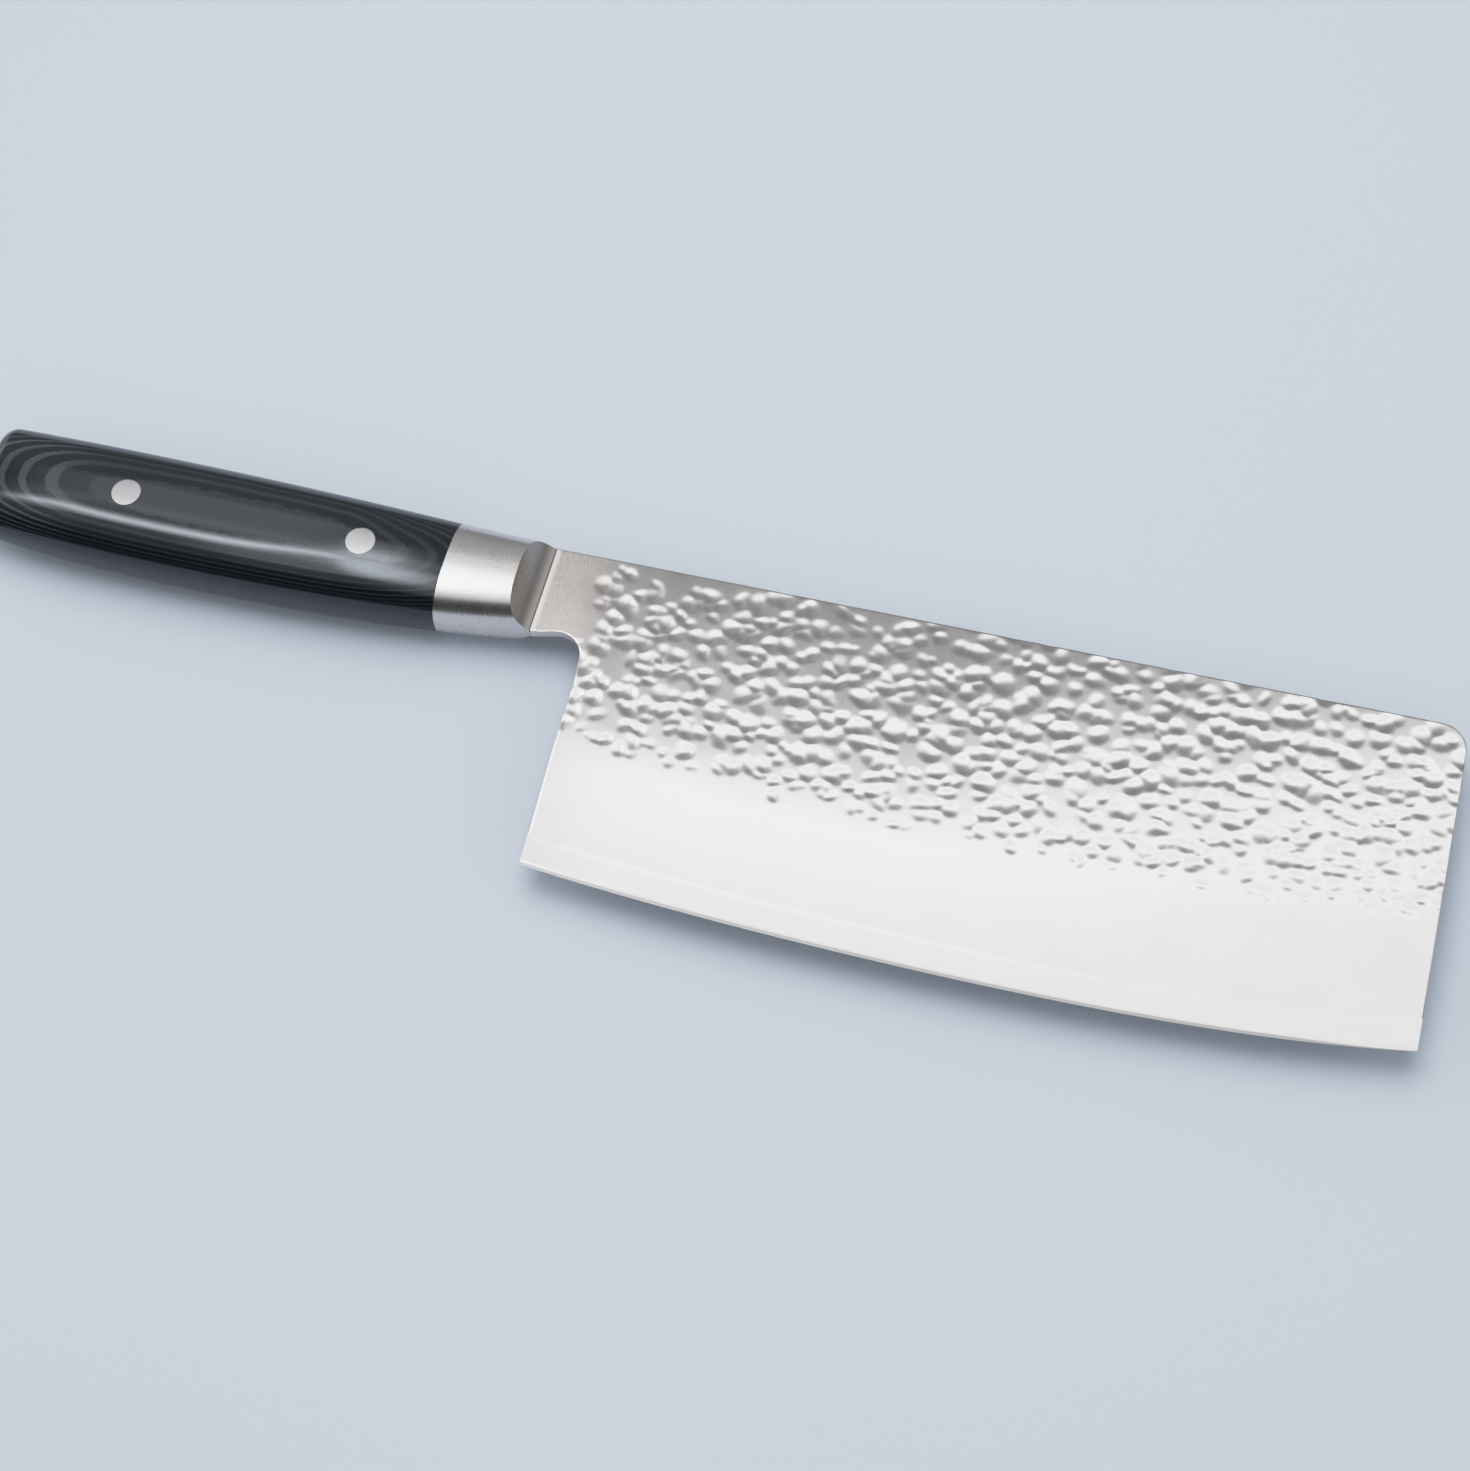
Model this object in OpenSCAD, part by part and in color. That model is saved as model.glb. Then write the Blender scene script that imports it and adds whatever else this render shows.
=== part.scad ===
// Chinese cleaver: laminated blade with a hidden tang, two-part bolster,
// two-part riveted handle. It lies on its side: +X towards the blade's tip,
// +Y towards the spine, +Z up, out of the upper face of the blade.

/* [Blade] */
// Length of the cutting edge, heel corner to tip corner
blade_l = 180; // [160:1:200]
// Height of the spine above the heel corner
blade_h = 72.5; // [68:0.5:78]
// Thickness of the blade at the spine
spine_t = 2.2; // [2.0:0.1:2.6]
// Thickness of the hard core layer
core_t = 0.8; // [0.6:0.1:1.0]
// How far the belly of the edge hangs below its own chord
belly = 5.0; // [2:0.1:7]
// How much higher the tip corner is than the heel corner
tip_rise = 1.5; // [0:0.1:3]
// Radius of the rounded corner between spine and tip end
corner_r = 6; // [3:0.5:10]
// Height of the line where the ground lower face starts
grind_y = 27; // [22:0.5:32]
// Thickness left at the shoulder of the sharpened bevel, mid-edge
shoulder_t = 0.44; // [0.3:0.02:0.6]
// Angle of the sharpened bevel on each side
bevel_a = 13; // [10:0.5:16]
// Radius of the inside corner between heel and bolster
choil_r = 5.4; // [5.4:0.1:5.6]

/* [Handle] */
// Length from the front of the bolster to the butt end
handle_l = 126.5; // [120:0.5:135]
// Length of the bolster along the handle
bolster_l = 20.2; // [18:0.1:24]
// Half thickness of the bolster
bolster_h = 8.4; // [8:0.1:9.5]
// How much the handle swells in thickness, each side, behind the bolster
swell = 0.5; // [0.2:0.05:0.8]
// How much the handle's crown falls towards the butt, each side
butt_drop = 2.2; // [1:0.1:3]
// Radius that rounds the butt end
butt_r = 4; // [3:0.25:5]
// Squareness of the handle's cross-section, 2 is an ellipse
square_n = 2.5; // [2.2:0.1:3.2]
// Radius of the concave sweep from the bolster down to the blade
sweep_r = 14; // [12:0.5:40]
// How far the sweep reaches back along the bolster's crown
sweep_l = 4.6; // [3.8:0.1:6]

/* [Tang and rivets] */
// Width of the hidden tang
tang_w = 14; // [12:0.5:16]
// Thickness of the hidden tang
tang_t = 2.0; // [1.8:0.1:2.0]
// Gap between the tang's end and the butt
tang_short = 14; // [12:1:30]
// Diameter of the rivet heads
head_d = 6.4; // [6:0.1:7]
// Thickness of a rivet head
head_t = 1.6; // [1.2:0.1:2]
// Outside diameter of the tubular rivet half
tube_d = 4.5; // [4:0.1:5]
// Diameter of the solid rivet stem
stem_d = 3; // [2.5:0.1:3.2]
// Distance from the bolster to the front rivet
front_rivet = 18.7; // [15:0.1:25]
// Distance between the two rivets
rivet_gap = 53; // [45:0.5:60]

/* [Hidden] */
$fn = 64;
eps = 0.01;

// The drawing origin is the heel corner at the blade's mid-thickness.
neck_x = -13.5;                    // front of the bolster
back_x = neck_x - bolster_l;       // joint between bolster and handle
butt_x = neck_x - handle_l;        // butt end
tang_y = 61;                       // middle of the tang
half_t = spine_t / 2;
half_core = core_t / 2;
half_tang = tang_t / 2;

// Axis of the sweep: its circle passes through the blade's face at the
// bolster's front, and through the bolster's crown further back.
sweep_h = bolster_h - half_t;
foot_a = atan2(sweep_h, sweep_l) - asin(norm([sweep_l, sweep_h]) / 2 / sweep_r);
sweep_x = neck_x + sweep_r * sin(foot_a);
sweep_z = half_t + sweep_r * cos(foot_a);

// Stations of the handle's top and bottom lines: distance behind the
// bolster's front as a share of the handle, and height.
top_line = [[0, 72.1], [0.16, 72.9], [0.4, 74.1], [0.7, 74.9], [1, 75.3]];
low_line = [[0, 51.9], [0.16, 49.2], [0.4, 47.5], [0.7, 47.4], [1, 50.2]];

// Smooth curve through all the stations of a list
function prod(v, i = 0) = i >= len(v) ? 1 : v[i] * prod(v, i + 1);
function sum(v, i = 0) = i >= len(v) ? 0 : v[i] + sum(v, i + 1);
function through(p, x) =
    sum([for (i = [0:len(p) - 1]) p[i][1] *
        prod([for (j = [0:len(p) - 1]) if (j != i)
            (x - p[j][0]) / (p[i][0] - p[j][0])])]);

// Share of the handle's length at a given x
function share(x) = (neck_x - x) / handle_l;
// Half thickness of bolster and handle at a given x
function crown(x) =
    let (u = max(0, (back_x - x) / (back_x - butt_x)))
    bolster_h + swell * sin(180 * pow(u, 0.8))
    - butt_drop * pow(max(0, (u - 0.7) / 0.3), 2.2);
// How far the rounded butt has pulled in at a given x
function pull(x) =
    let (d = min(butt_r, x - butt_x))
    butt_r - sqrt(max(0, butt_r * butt_r - (butt_r - d) * (butt_r - d)));
function mid_y(x) = (through(top_line, share(x)) + through(low_line, share(x))) / 2;
function half_w(x) = (through(top_line, share(x)) - through(low_line, share(x))) / 2 - pull(x);
function half_h(x) = crown(x) - pull(x);

// Point of the upper half of the cross-section, a from 0 to 180
function pw(v, n) = sign(v) * pow(abs(v), n);
function rim(x, a) = [x,
    mid_y(x) + half_w(x) * pw(cos(a), 2 / square_n),
    half_h(x) * pw(sin(a), 2 / square_n)];

// Height of the cutting edge at a given x
function edge_y(x) =
    let (u = x / blade_l, v = 2 * u - 1)
    tip_rise * u - 4 * belly * u * (1 - u) * (1 + 0.24 * v + 0.25 * v * v);

// Half of the cross-section swept between two stations, flat on z = 0
module half_body(xs, steps = 28) {
    n = steps + 1;
    pts = [for (x = xs) for (i = [0:steps]) rim(x, 180 * i / steps)];
    m = len(xs);
    polyhedron(points = pts, convexity = 4, faces = concat(
        [[for (i = [0:steps]) i]],
        [[for (i = [steps:-1:0]) (m - 1) * n + i]],
        [for (k = [0:m - 2]) [k * n, (k + 1) * n, (k + 1) * n + steps, k * n + steps]],
        [for (k = [0:m - 2]) for (i = [0:steps - 1])
            [k * n + i, k * n + i + 1, (k + 1) * n + i + 1]],
        [for (k = [0:m - 2]) for (i = [0:steps - 1])
            [k * n + i, (k + 1) * n + i + 1, (k + 1) * n + i]]));
}

// Moves the drawing to the middle of the part's foot
module place() {
    translate([-(butt_x + blade_l) / 2, -35.5, bolster_h + swell])
        children();
}

// Blade, neck and tang seen from above
module blank() {
    polygon(concat(
        [for (i = [0:60]) let (x = blade_l * i / 60) [x, edge_y(x)]],
        [for (i = [0:12]) let (a = 90 * i / 12)
            [blade_l - 1.4 - corner_r + corner_r * cos(a),
             blade_h - corner_r + corner_r * sin(a)]],
        [[neck_x + 16, blade_h - 0.1], [neck_x, blade_h - 0.2],
         [neck_x, tang_y + tang_w / 2],
         [butt_x + tang_short, tang_y + tang_w / 2],
         [butt_x + tang_short, tang_y - tang_w / 2],
         [neck_x, tang_y - tang_w / 2],
         [neck_x, 51.8], [neck_x + 2.5, 52.05], [neck_x + 4.5, 52.6]],
        [for (i = [0:10]) let (a = 95 - 90 * i / 10)
            [choil_r * cos(a) - 6.9, 47.5 + choil_r * sin(a)]],
        [[-1.15, 44.5], [-0.95, 41], [-0.9, 28], [-0.45, 14]]));
}

module rivet_holes() {
    for (x = [back_x - front_rivet, back_x - front_rivet - rivet_gap])
        translate([x, mid_y(x), -20]) cylinder(d = tube_d, h = 40);
}

// Everything above the ground face of the lower blade, upper side
module grind_off() {
    a = atan((half_t - shoulder_t / 2) / (grind_y + 3));
    translate([-40, grind_y, half_t]) rotate([a, 0, 0])
        translate([0, -60, 0]) cube([260, 60, 10]);
}

// Everything above the sharpened bevel, upper side
module bevel_off() {
    for (i = [0:11]) {
        x0 = blade_l * i / 12;
        x1 = blade_l * (i + 1) / 12;
        translate([x0, edge_y(x0), 0])
            rotate([0, 0, atan2(edge_y(x1) - edge_y(x0), x1 - x0)])
                rotate([bevel_a, 0, 0])
                    translate([-250, -20, 0]) cube([500, 40, 10]);
    }
}

// Everything above the tang's own surface, behind the neck
module tang_off() {
    translate([butt_x - 10, 30, half_tang])
        cube([neck_x - butt_x + 10, 60, 10]);
}

module core_shape() {
    difference() {
        translate([0, 0, -half_core]) linear_extrude(core_t) blank();
        rivet_holes();
        grind_off();
        mirror([0, 0, 1]) grind_off();
        bevel_off();
        mirror([0, 0, 1]) bevel_off();
    }
}

module cladding_shape() {
    difference() {
        translate([0, 0, half_core]) linear_extrude(half_t - half_core) blank();
        rivet_holes();
        grind_off();
        tang_off();
    }
}

module bolster_shape() {
    difference() {
        half_body([back_x, back_x + 5, back_x + 10, back_x + 15, neck_x]);
        // pocket for the tang
        translate([back_x - 1, tang_y - tang_w / 2, -1])
            cube([bolster_l + 2, tang_w, 1 + half_tang]);
        // concave sweep down to the blade
        translate([sweep_x, 100, sweep_z])
            rotate([90, 0, 0]) cylinder(r = sweep_r, h = 80);
    }
}

module scale_shape() {
    difference() {
        half_body(concat(
            [for (d = [0, 0.15, 0.5, 1.1, 1.9, 2.8]) butt_x + d],
            [for (i = [0:19]) butt_x + butt_r
                + (back_x - butt_x - butt_r) * i / 19]));
        // pocket for the tang
        translate([butt_x + tang_short, tang_y - tang_w / 2, -1])
            cube([handle_l, tang_w, 1 + half_tang]);
        // bores with a seat for the rivet heads
        for (x = [back_x - front_rivet, back_x - front_rivet - rivet_gap]) {
            translate([x, mid_y(x), -1]) cylinder(d = tube_d, h = 20);
            translate([x, mid_y(x), head_z(x) - head_t])
                cylinder(d = head_d, h = 20);
        }
    }
}

// Height of a rivet head's outer face
function head_z(x) = half_h(x) - 0.04;

// Solid half of a rivet: upper head and stem
module rivet_male(x) {
    z = head_z(x);
    translate([x, mid_y(x), z - head_t]) cylinder(d = head_d, h = head_t);
    translate([x, mid_y(x), -z + head_t]) cylinder(d = stem_d, h = 2 * z - 2 * head_t + eps);
}

// Tubular half of a rivet: lower head and tube
module rivet_female(x) {
    z = head_z(x);
    difference() {
        union() {
            translate([x, mid_y(x), -z]) cylinder(d = head_d, h = head_t);
            translate([x, mid_y(x), -z + head_t - eps])
                cylinder(d = tube_d, h = 2 * z - 2 * head_t + eps);
        }
        translate([x, mid_y(x), -z + head_t]) cylinder(d = stem_d, h = 2 * z);
    }
}

module blade_core() { color([0.78, 0.79, 0.80]) place() core_shape(); }
module cladding_top() { color([0.72, 0.72, 0.71]) place() cladding_shape(); }
module cladding_bottom() {
    color([0.72, 0.72, 0.71]) place() mirror([0, 0, 1]) cladding_shape();
}
module bolster_top() { color([0.80, 0.79, 0.77]) place() bolster_shape(); }
module bolster_bottom() {
    color([0.80, 0.79, 0.77]) place() mirror([0, 0, 1]) bolster_shape();
}
module scale_top() { color([0.16, 0.17, 0.18]) place() scale_shape(); }
module scale_bottom() {
    color([0.16, 0.17, 0.18]) place() mirror([0, 0, 1]) scale_shape();
}
module rear_rivet_male() {
    color([0.82, 0.81, 0.82]) place() rivet_male(back_x - front_rivet - rivet_gap);
}
module rear_rivet_female() {
    color([0.82, 0.81, 0.82]) place() rivet_female(back_x - front_rivet - rivet_gap);
}
module front_rivet_male() {
    color([0.82, 0.81, 0.82]) place() rivet_male(back_x - front_rivet);
}
module front_rivet_female() {
    color([0.82, 0.81, 0.82]) place() rivet_female(back_x - front_rivet);
}

blade_core();
cladding_top();
cladding_bottom();
bolster_top();
bolster_bottom();
scale_top();
scale_bottom();
rear_rivet_male();
rear_rivet_female();
front_rivet_male();
front_rivet_female();
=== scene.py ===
import math

import bpy
import numpy as np
from mathutils import Matrix, Vector
from mathutils.geometry import delaunay_2d_cdt


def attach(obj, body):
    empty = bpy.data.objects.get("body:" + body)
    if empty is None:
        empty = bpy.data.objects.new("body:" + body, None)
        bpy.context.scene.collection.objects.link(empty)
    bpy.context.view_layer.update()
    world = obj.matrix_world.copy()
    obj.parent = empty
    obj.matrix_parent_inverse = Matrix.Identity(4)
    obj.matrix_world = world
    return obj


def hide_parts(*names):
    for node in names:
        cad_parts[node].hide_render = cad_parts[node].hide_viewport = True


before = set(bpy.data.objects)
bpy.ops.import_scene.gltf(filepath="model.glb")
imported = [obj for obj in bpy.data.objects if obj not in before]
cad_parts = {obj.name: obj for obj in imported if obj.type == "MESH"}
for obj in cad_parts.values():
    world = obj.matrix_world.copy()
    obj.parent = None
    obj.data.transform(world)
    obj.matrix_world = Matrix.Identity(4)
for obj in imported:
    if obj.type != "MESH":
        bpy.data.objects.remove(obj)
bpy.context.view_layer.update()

# ------------------------------------------------------------------ sizes
# The CAD source's driving sizes, in drawing millimetres: the origin is the
# heel corner at the blade's mid-thickness.
BLADE_L, BLADE_H, SPINE_T, CORE_T = 180.0, 72.5, 2.2, 0.8
BELLY, TIP_RISE, CORNER_R, BEVEL_A, CHOIL_R = 5.0, 1.5, 6.0, 13.0, 5.4
HANDLE_L, BOLSTER_L, BOLSTER_H, SWELL = 126.5, 20.2, 8.4, 0.5
BUTT_DROP, BUTT_R, SQUARE_N, SWEEP_R, SWEEP_L = 2.2, 4.0, 2.5, 14.0, 4.6
TANG_Y, TANG_W, TANG_T, TANG_SHORT = 61.0, 14.0, 2.0, 14.0
HEAD_D, HEAD_T, TUBE_D, STEM_D = 6.4, 1.6, 4.5, 3.0
FRONT_RIVET, RIVET_GAP = 18.7, 53.0
NECK_X = -13.5
BACK_X, BUTT_X = NECK_X - BOLSTER_L, NECK_X - HANDLE_L
HALF_T, HALF_CORE, HALF_TANG = SPINE_T / 2, CORE_T / 2, TANG_T / 2
TOP_LINE = [(0, 72.1), (0.16, 72.9), (0.4, 74.1), (0.7, 74.9), (1, 75.3)]
LOW_LINE = [(0, 51.9), (0.16, 49.2), (0.4, 47.5), (0.7, 47.4), (1, 50.2)]
SHIFT = np.array([-(BUTT_X + BLADE_L) / 2, -35.5, BOLSTER_H + SWELL])
RIVETS = [BACK_X - FRONT_RIVET, BACK_X - FRONT_RIVET - RIVET_GAP]


def row(x, y, z):
    return (Vector((x, y, z)) + Vector(SHIFT)) * 0.001


def srgb(r, g, b):
    def lin(c):
        c /= 255.0
        return c / 12.92 if c <= 0.04045 else ((c + 0.055) / 1.055) ** 2.4
    return (lin(r), lin(g), lin(b), 1.0)


# ----------------------------------------------------------------- camera
def make_camera():
    f_px, el, az, roll = 3325.8, 61.55, 22.89, -8.70
    tx, ty, dist = 34.66, 38.16, 678.22
    e, a, r = (math.radians(v) for v in (el, az, roll))
    back = Vector((math.sin(a) * math.cos(e), -math.cos(a) * math.cos(e), math.sin(e)))
    right = Vector((0, 0, 1)).cross(back).normalized()
    up = back.cross(right)
    right2 = math.cos(r) * right + math.sin(r) * up
    up2 = -math.sin(r) * right + math.cos(r) * up
    rot = Matrix((right2, up2, back)).transposed()
    data = bpy.data.cameras.new("cam")
    data.sensor_fit = "AUTO"
    data.sensor_width = 36.0
    data.lens = f_px * 36.0 / 1471.0
    data.clip_start, data.clip_end = 0.01, 20
    cam = bpy.data.objects.new("cam", data)
    bpy.context.scene.collection.objects.link(cam)
    cam.matrix_world = Matrix.Translation(row(tx, ty, 0) + back * dist * 0.001) @ rot.to_4x4()
    bpy.context.scene.camera = cam


# ------------------------------------------------------- shared shape rules
def edge_y(x):
    u = np.asarray(x, float) / BLADE_L
    v = 2 * u - 1
    return TIP_RISE * u - 4 * BELLY * u * (1 - u) * (1 + 0.24 * v + 0.25 * v * v)


def through(stations, x):
    total = 0
    for i, (xi, yi) in enumerate(stations):
        term = yi
        for j, (xj, _) in enumerate(stations):
            if j != i:
                term = term * (x - xj) / (xi - xj)
        total = total + term
    return total


def crown(x):
    u = np.maximum(0, (BACK_X - x) / (BACK_X - BUTT_X))
    return (BOLSTER_H + SWELL * np.sin(np.pi * u ** 0.8)
            - BUTT_DROP * np.maximum(0, (u - 0.7) / 0.3) ** 2.2)


def pull(x):
    d = np.minimum(BUTT_R, x - BUTT_X)
    return BUTT_R - np.sqrt(np.maximum(0, BUTT_R ** 2 - (BUTT_R - d) ** 2))


def mid_y(x):
    q = (NECK_X - x) / HANDLE_L
    return (through(TOP_LINE, q) + through(LOW_LINE, q)) / 2


def half_w(x):
    q = (NECK_X - x) / HANDLE_L
    return (through(TOP_LINE, q) - through(LOW_LINE, q)) / 2 - pull(x)


def half_h(x):
    return crown(x) - pull(x)


def handle_z(x, y):
    """Height of the handle's outer surface above the mid-plane."""
    q = np.clip(np.abs((y - mid_y(x)) / half_w(x)), 0, 1)
    return half_h(x) * (1 - q ** SQUARE_N) ** (1 / SQUARE_N)


def ground(h):
    """Depth that grinding has taken off a face, h above the cutting edge."""
    curve = 0.00125 * np.clip(36 - h, 0, 11.7) ** 2
    return curve + 0.02925 * np.clip(24.3 - h, 0, None)


# ------------------------------------------------------------- mesh helpers
def along(points, shares):
    """Points at these shares of a line's length."""
    p = np.asarray(points, float)
    run = np.r_[0, np.cumsum(np.linalg.norm(np.diff(p, axis=0), axis=1))]
    at = np.asarray(shares) * run[-1]
    return np.c_[np.interp(at, run, p[:, 0]), np.interp(at, run, p[:, 1])]


def coons(bottom, top, left, right, s, t):
    """Grid of points [row, column] inside four boundary lines."""
    s, t = s[None, :, None], t[:, None, None]
    b, u, l, r = bottom[None], top[None], left[:, None], right[:, None]
    corners = ((1 - s) * (1 - t) * b[:, :1] + s * (1 - t) * b[:, -1:]
               + (1 - s) * t * u[:, :1] + s * t * u[:, -1:])
    return (1 - t) * b + t * u + (1 - s) * l + s * r - corners


def quads(index, flip=False):
    a, b, c, d = index[:-1, :-1], index[:-1, 1:], index[1:, 1:], index[1:, :-1]
    q = np.stack([a, b, c, d], -1).reshape(-1, 4)
    return q[:, ::-1] if flip else q


def open_edges(faces):
    """Directed edges that only one face has."""
    parts = []
    for f in faces:
        for i in range(f.shape[1]):
            parts.append(np.stack([f[:, i], f[:, (i + 1) % f.shape[1]]], 1))
    e = np.concatenate(parts).astype(np.int64)
    key = e.min(1) * 10_000_000 + e.max(1)
    _, inverse, count = np.unique(key, return_inverse=True, return_counts=True)
    return e[count[inverse.ravel()] == 1]


def in_rivet_hole(p):
    out = np.zeros(len(p), bool)
    for x in RIVETS:
        out |= np.hypot(p[:, 0] - x, p[:, 1] - mid_y(x)) < TUBE_D / 2 - 0.05
    return out


def fill(points, edges):
    """Triangles inside closed lines, leaving the rivet holes open."""
    got = delaunay_2d_cdt([Vector(p) for p in points.tolist()],
                          [tuple(e) for e in edges.tolist()], [], 1, 1e-7)
    origin = np.array([o[0] if o else -1 for o in got[3]])
    tri = origin[np.array([f for f in got[2] if len(f) == 3], int)]
    tri = tri[(tri >= 0).all(1)]
    tri = tri[~in_rivet_hole(points[tri].mean(1))]
    a, b, c = (points[tri[:, k]] for k in range(3))
    area = (b[:, 0] - a[:, 0]) * (c[:, 1] - a[:, 1]) - (b[:, 1] - a[:, 1]) * (c[:, 0] - a[:, 0])
    return np.where((area < 0)[:, None], tri[:, ::-1], tri)


def solid(p2, faces, z_top, z_low, mirror_net):
    """Closed solid over a flat net: the net on top, walls around its open
    edges, and below either the same net or a plain filled face."""
    rim, n = open_edges(faces), len(p2)
    top = np.c_[p2, z_top]
    if mirror_net:
        verts = np.r_[top, np.c_[p2, np.broadcast_to(z_low, n)]]
        under = [f[:, ::-1] + n for f in faces]
        low = np.arange(n) + n
    else:
        ring = np.unique(rim)
        low = np.full(n, -1)
        low[ring] = np.arange(len(ring))
        tri = fill(p2[ring], low[rim])
        low[ring] += n
        verts = np.r_[top, np.c_[p2[ring], np.full(len(ring), z_low)]]
        under = [tri[:, ::-1] + n]
    walls = np.stack([rim[:, 1], rim[:, 0], low[rim[:, 0]], low[rim[:, 1]]], 1)
    return verts, list(faces) + under + [walls]


def build(name, verts, faces, material, nodes, mirror=False, angle=32):
    verts = np.asarray(verts, float)
    if mirror:
        verts = verts * [1, 1, -1]
        faces = [f[:, ::-1] for f in faces]
    mesh = bpy.data.meshes.new(name)
    mesh.from_pydata(((verts + SHIFT) * 0.001).tolist(), [],
                     [f for part in faces for f in part.tolist()])
    mesh.validate()
    return dress(name, mesh, material, nodes, angle)


def dress(name, mesh, material, nodes, angle=32):
    mesh.polygons.foreach_set("use_smooth", [True] * len(mesh.polygons))
    mesh.set_sharp_from_angle(angle=math.radians(angle))
    mesh.materials.clear()
    mesh.materials.append(material)
    obj = bpy.data.objects.new(name, mesh)
    bpy.context.scene.collection.objects.link(obj)
    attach(obj, "root")
    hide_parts(*nodes)
    return obj


# ------------------------------------------------------------ hammered face
class Raster:
    """A height field over the blade, with smooth sampling between cells."""
    X0, Y0, STEP, NX, NY = -17.0, -9.0, 0.125, 1600, 680

    def __init__(self, seed):
        self.rng = np.random.RandomState(seed)
        self.x = self.X0 + self.STEP * np.arange(self.NX)
        self.y = self.Y0 + self.STEP * np.arange(self.NY)
        self.gx, self.gy = np.meshgrid(self.x, self.y)
        fx = np.fft.rfftfreq(self.NX, self.STEP)[None, :]
        fy = np.fft.fftfreq(self.NY, self.STEP)[:, None]
        self.f2 = fx ** 2 + fy ** 2

    def blur(self, field, sigma):
        k = np.exp(-2 * (np.pi * sigma) ** 2 * self.f2)
        return np.fft.irfft2(np.fft.rfft2(field) * k, s=field.shape)

    def noise(self, sigma):
        field = self.blur(self.rng.standard_normal((self.NY, self.NX)), sigma)
        return field / field.std()

    def sample(self, field, p):
        u = np.clip((p[:, 0] - self.X0) / self.STEP, 0, self.NX - 1.001)
        v = np.clip((p[:, 1] - self.Y0) / self.STEP, 0, self.NY - 1.001)
        i, j = u.astype(int), v.astype(int)
        a, b = u - i, v - j
        return ((field[j, i] * (1 - a) + field[j, i + 1] * a) * (1 - b)
                + (field[j + 1, i] * (1 - a) + field[j + 1, i + 1] * a) * b)


def dent_field(seed):
    """Depth of the hammer marks: seeded, overlapping, irregular ellipses."""
    r = Raster(seed)
    rng = r.rng
    warp_u, warp_v = 0.26 * r.noise(1.1), 0.22 * r.noise(1.0)
    gu, gv = r.gx + warp_u, r.gy + warp_v
    depth = np.zeros_like(gu)

    def strike(cx, cy, a, b, turn, d):
        reach = 1.35 * a + 0.8
        i0, i1 = np.searchsorted(r.x, [cx - reach, cx + reach])
        j0, j1 = np.searchsorted(r.y, [cy - reach, cy + reach])
        if i1 - i0 < 2 or j1 - j0 < 2:
            return
        u, v = gu[j0:j1, i0:i1] - cx, gv[j0:j1, i0:i1] - cy
        c, s = math.cos(turn), math.sin(turn)
        p, q = (c * u + s * v) / a, (-s * u + c * v) / b
        rr = p * p + q * q
        patch = depth[j0:j1, i0:i1]
        np.maximum(patch, d * np.clip(1 - rr, 0, None) ** 1.6, out=patch)

    sx, sy = 4.3, 3.1
    for n, cy in enumerate(np.arange(13.5, 77.0, sy)):
        for cx in np.arange(-8.0 + sx * 0.5 * (n % 2), 185.0, sx):
            jx, jy, keep, style, twin = rng.uniform(-1, 1, 5)
            x, y = cx + 0.42 * sx * jx, cy + 0.52 * sy * jy
            size, ratio, steep, lean, sign = rng.uniform(0, 1, 5)
            spin = rng.normal(-20, 28)
            # marks thin out towards the neck and the spine, and are small
            # along the ground zone
            near_neck = np.clip((30 - x) / 30, 0, 1) * np.clip((y - 40) / 16, 0, 1)
            above = y - float(edge_y(np.clip(x, 0, BLADE_L))) - 28.6
            small = np.clip(above / 8, 0, 1)
            if (x < -5.2 + np.clip((y - 50) / 8, 0, 1) * 3.4 or above < 0.6
                    or keep > 0.97 - 0.12 * near_neck or (y > 71.2 and size > 0.5)):
                continue
            a = (1.70 + 1.25 * size) * (0.60 + 0.40 * small)
            b = np.clip(a * (0.64 + 0.32 * ratio), 0.8, 2.4)
            turn = math.radians(spin if style > -0.72 else 160 * lean)
            d = b * (0.070 + 0.038 * steep)
            strike(x, y, a, b, turn, d)
            if twin > 0.55:
                side = 1 if sign > 0.5 else -1
                strike(x + side * a * 1.0, y + abs(lean - 0.35) * 1.6,
                       a * 0.62, b * 0.8, turn - 0.4 * side, d * 0.8)
    depth = r.blur(depth, 0.26)
    sway = np.clip((r.gx + 7) / 6, 0, 1) * 0.006 * r.noise(2.3)
    return r, depth, sway


HEEL = [(0, 0), (-0.45, 14), (-0.9, 28), (-0.95, 41), (-1.15, 44.5)]


def choil(a):
    a = np.radians(a)
    return np.c_[-6.9 + CHOIL_R * np.cos(a), 47.5 + CHOIL_R * np.sin(a)]


def spine_line(x):
    x = np.asarray(x, float)
    return np.where(x > 2.5, 72.4 + 0.1 * (x - 2.5) / 170.1, 72.4 + 0.1 * (x - 2.5) / 16)


def tip_corner(a):
    a = np.radians(a)
    return np.c_[BLADE_L - 1.4 - CORNER_R + CORNER_R * np.cos(a),
                 BLADE_H - CORNER_R + CORNER_R * np.sin(a)]


def heel_at(h):
    return np.interp(h, [p[1] for p in HEEL], [p[0] for p in HEEL])


def tip_at(y):
    return BLADE_L - 1.4 * (y - TIP_RISE) / (BLADE_H - CORNER_R - TIP_RISE)


NECK_LOW = np.r_[choil(np.linspace(50, 95, 22)),
                 [(-8.2, 52.76), (-9.0, 52.6), (-10.0, 52.32), (-11.0, 52.08),
                  (-12.2, 51.9), (NECK_X, 51.8)]]


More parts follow.
